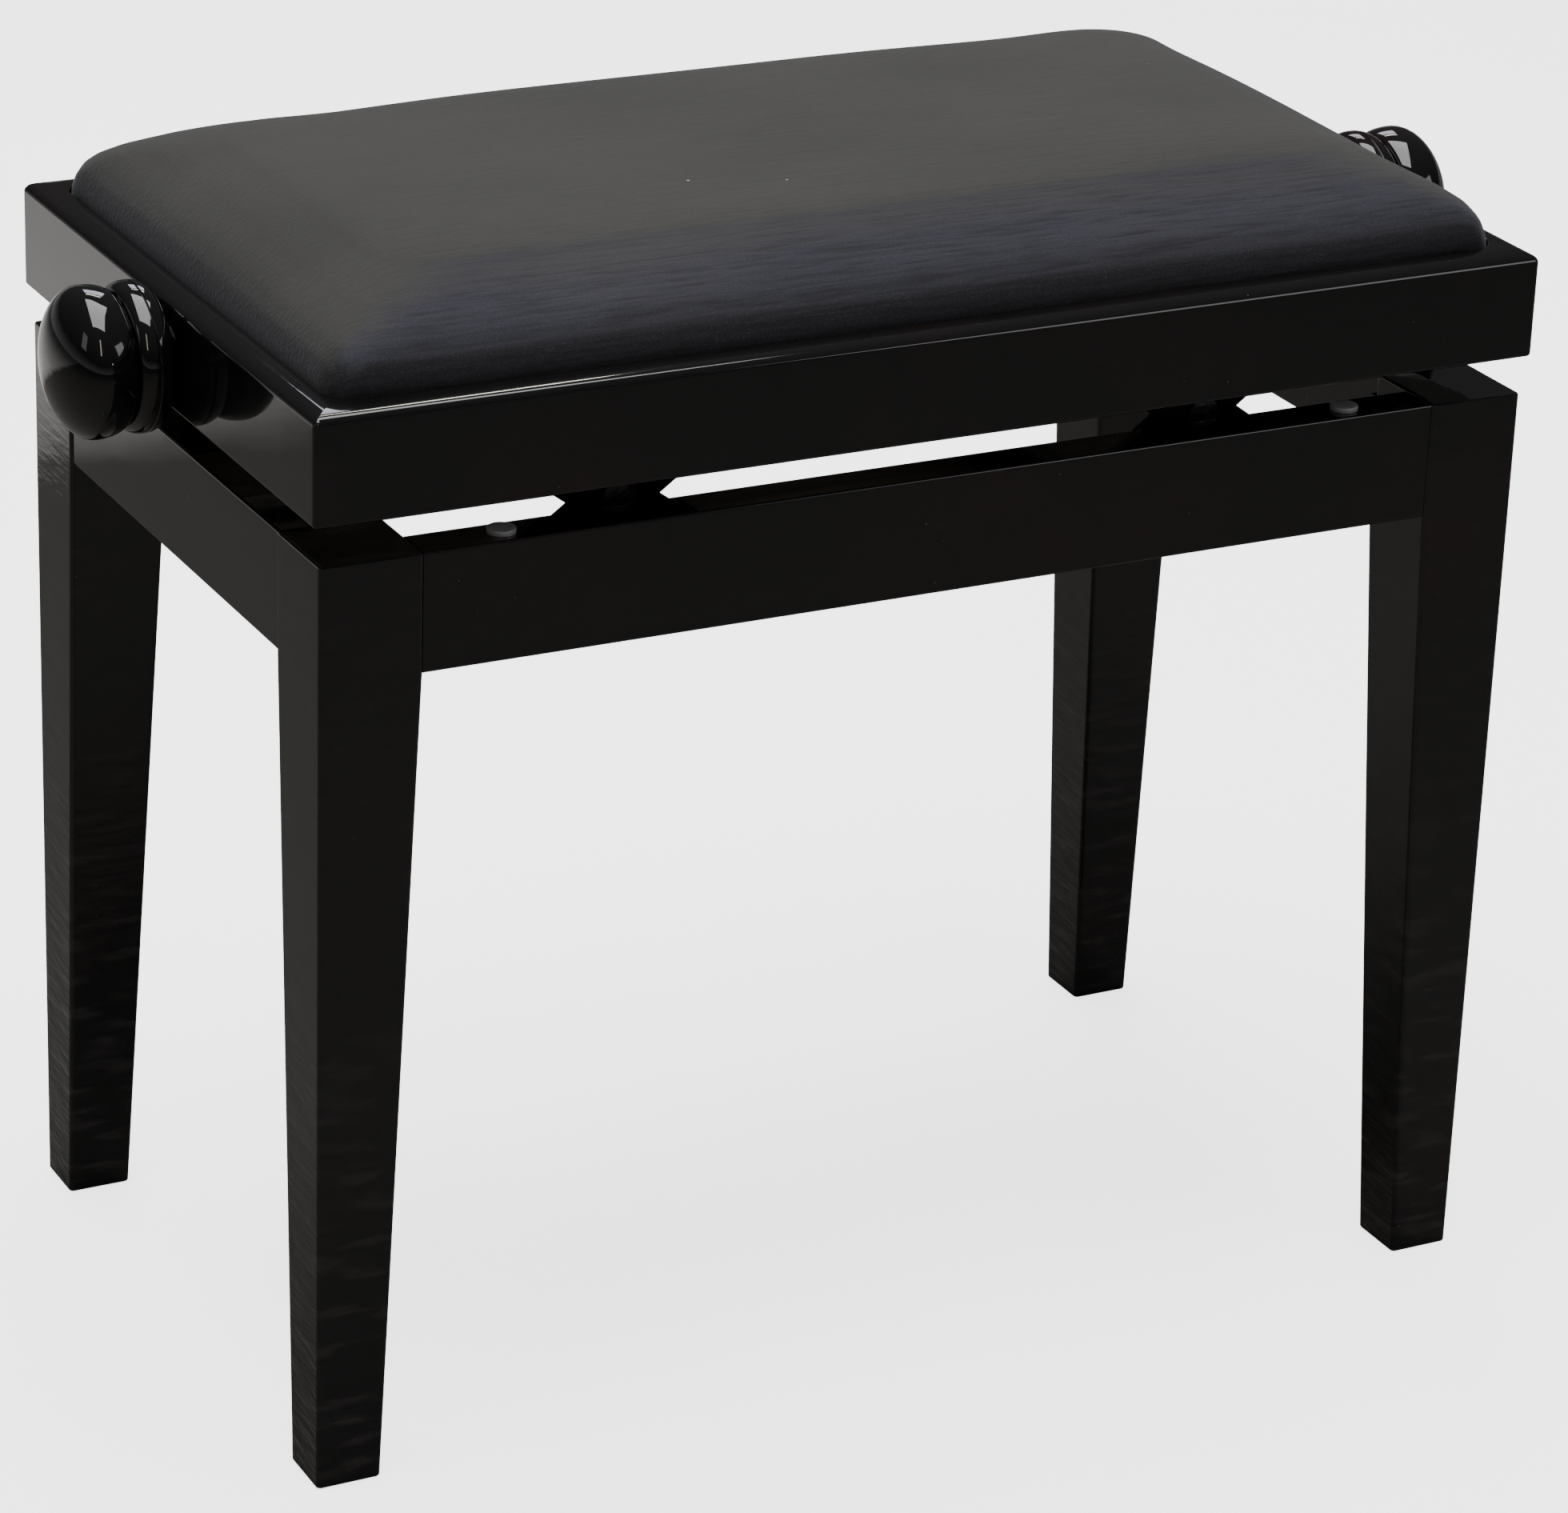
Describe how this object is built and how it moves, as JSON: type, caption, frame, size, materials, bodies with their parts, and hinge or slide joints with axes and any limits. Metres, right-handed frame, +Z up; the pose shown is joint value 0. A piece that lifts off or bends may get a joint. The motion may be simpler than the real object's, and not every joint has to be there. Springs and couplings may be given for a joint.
{
  "type": "piano bench",
  "caption": "Adjustable piano bench in black lacquer: tapered legs, a velvet drop-in cushion, and a scissor lift worked by a screw with a turned knob at each end.",
  "frame": {"origin": "middle of the footprint, on the floor, with the seat at its resting height", "axes": "+X along the bench to its right end, +Y from front to back, +Z up"},
  "size_m": [0.648, 0.317, 0.496],
  "materials": {
    "black_lacquer": "high-gloss black lacquer",
    "velvet": "black ribbed velvet",
    "foam": "open-cell foam",
    "plywood": "raw birch plywood",
    "clear_bumper": "clear soft disc",
    "brass": "machined brass",
    "nylon": "natural nylon",
    "zinc_fastener": "bright zinc plate",
    "screw_steel": "oiled rolled thread",
    "pressed_steel": "pressed steel, satin"
  },
  "bodies": {
    "lower_frame": {"leg_front_left": "black_lacquer", "leg_front_right": "black_lacquer", "leg_back_left": "black_lacquer", "leg_back_right": "black_lacquer", "frame_rail_front": "black_lacquer", "frame_rail_back": "black_lacquer", "frame_rail_left": "black_lacquer", "frame_rail_right": "black_lacquer", "rest_bumpers": "clear_bumper", "corner_plates": "pressed_steel", "corner_plate_screws": "zinc_fastener", "leg_bolts": "zinc_fastener", "leg_bolt_nuts": "zinc_fastener", "front_left_track": "pressed_steel", "front_right_track": "pressed_steel", "back_left_track": "pressed_steel", "back_right_track": "pressed_steel", "arm_pivot_studs": "zinc_fastener", "track_screws": "zinc_fastener"},
    "seat": {"seat_rail_front": "black_lacquer", "seat_rail_back": "black_lacquer", "seat_rail_left": "black_lacquer", "seat_rail_right": "black_lacquer", "seat_board": "plywood", "foam_pad": "foam", "velvet_cover": "velvet", "seat_corner_blocks": "plywood", "seat_corner_screws": "zinc_fastener", "front_left_hanger": "pressed_steel", "front_right_hanger": "pressed_steel", "back_left_hanger": "pressed_steel", "back_right_hanger": "pressed_steel", "hanger_screws": "zinc_fastener", "left_rod_bush": "nylon", "right_rod_bush": "nylon"},
    "screw": {"threaded_rod": "screw_steel", "left_knob": "black_lacquer", "right_knob": "black_lacquer", "rod_collars": "zinc_fastener", "collar_screws": "zinc_fastener"},
    "left_lift_arms": {"front_left_lift_arm": "pressed_steel", "back_left_lift_arm": "pressed_steel", "left_centre_rivets": "zinc_fastener"},
    "left_guide_arms": {"front_left_guide_arm": "pressed_steel", "back_left_guide_arm": "pressed_steel", "left_slide_pins": "zinc_fastener", "left_hanger_pins": "zinc_fastener"},
    "left_nut_bar": {"left_crossbar": "pressed_steel", "left_nut": "brass"},
    "right_lift_arms": {"front_right_lift_arm": "pressed_steel", "back_right_lift_arm": "pressed_steel", "right_centre_rivets": "zinc_fastener"},
    "right_guide_arms": {"front_right_guide_arm": "pressed_steel", "back_right_guide_arm": "pressed_steel", "right_slide_pins": "zinc_fastener", "right_hanger_pins": "zinc_fastener"},
    "right_nut_bar": {"right_crossbar": "pressed_steel", "right_nut": "brass"}
  },
  "joints": [
    {"name": "seat_lift", "type": "slide", "parent": "lower_frame", "child": "seat", "axis": [0, 0, 1], "range_m": [-0.0142, 0.04]},
    {"name": "knob_turn", "type": "hinge", "parent": "seat", "child": "screw", "pos_m": [0, 0, 0.438], "axis": [1, 0, 0], "range_deg": [-4612, 1640]},
    {"name": "left_lift_arm_pivot", "type": "hinge", "parent": "lower_frame", "child": "left_lift_arms", "pos_m": [-0.18724, 0, 0.362], "axis": [0, -1, 0], "range_deg": [-8.84, 24.81]},
    {"name": "left_scissor_pivot", "type": "hinge", "parent": "left_lift_arms", "child": "left_guide_arms", "pos_m": [-0.1345, 0, 0.4], "axis": [0, -1, 0], "range_deg": [-49.58, 17.63]},
    {"name": "left_nut_pivot", "type": "hinge", "parent": "left_lift_arms", "child": "left_nut_bar", "pos_m": [-0.08176, 0, 0.438], "axis": [0, -1, 0], "range_deg": [-24.81, 8.84]},
    {"name": "right_lift_arm_pivot", "type": "hinge", "parent": "lower_frame", "child": "right_lift_arms", "pos_m": [0.18724, 0, 0.362], "axis": [0, 1, 0], "range_deg": [-8.84, 24.81]},
    {"name": "right_scissor_pivot", "type": "hinge", "parent": "right_lift_arms", "child": "right_guide_arms", "pos_m": [0.1345, 0, 0.4], "axis": [0, 1, 0], "range_deg": [-49.58, 17.63]},
    {"name": "right_nut_pivot", "type": "hinge", "parent": "right_lift_arms", "child": "right_nut_bar", "pos_m": [0.08176, 0, 0.438], "axis": [0, 1, 0], "range_deg": [-24.81, 8.84]}
  ],
  "couplings": [
    {"joint": "knob_turn", "follows": "seat_lift", "rad_per_m": -2010.6},
    {"joint": "left_lift_arm_pivot", "follows": "seat_lift", "rad_per_m": 10.805},
    {"joint": "left_scissor_pivot", "follows": "seat_lift", "rad_per_m": -21.61},
    {"joint": "left_nut_pivot", "follows": "seat_lift", "rad_per_m": -10.805},
    {"joint": "right_lift_arm_pivot", "follows": "seat_lift", "rad_per_m": 10.805},
    {"joint": "right_scissor_pivot", "follows": "seat_lift", "rad_per_m": -21.61},
    {"joint": "right_nut_pivot", "follows": "seat_lift", "rad_per_m": -10.805}
  ]
}
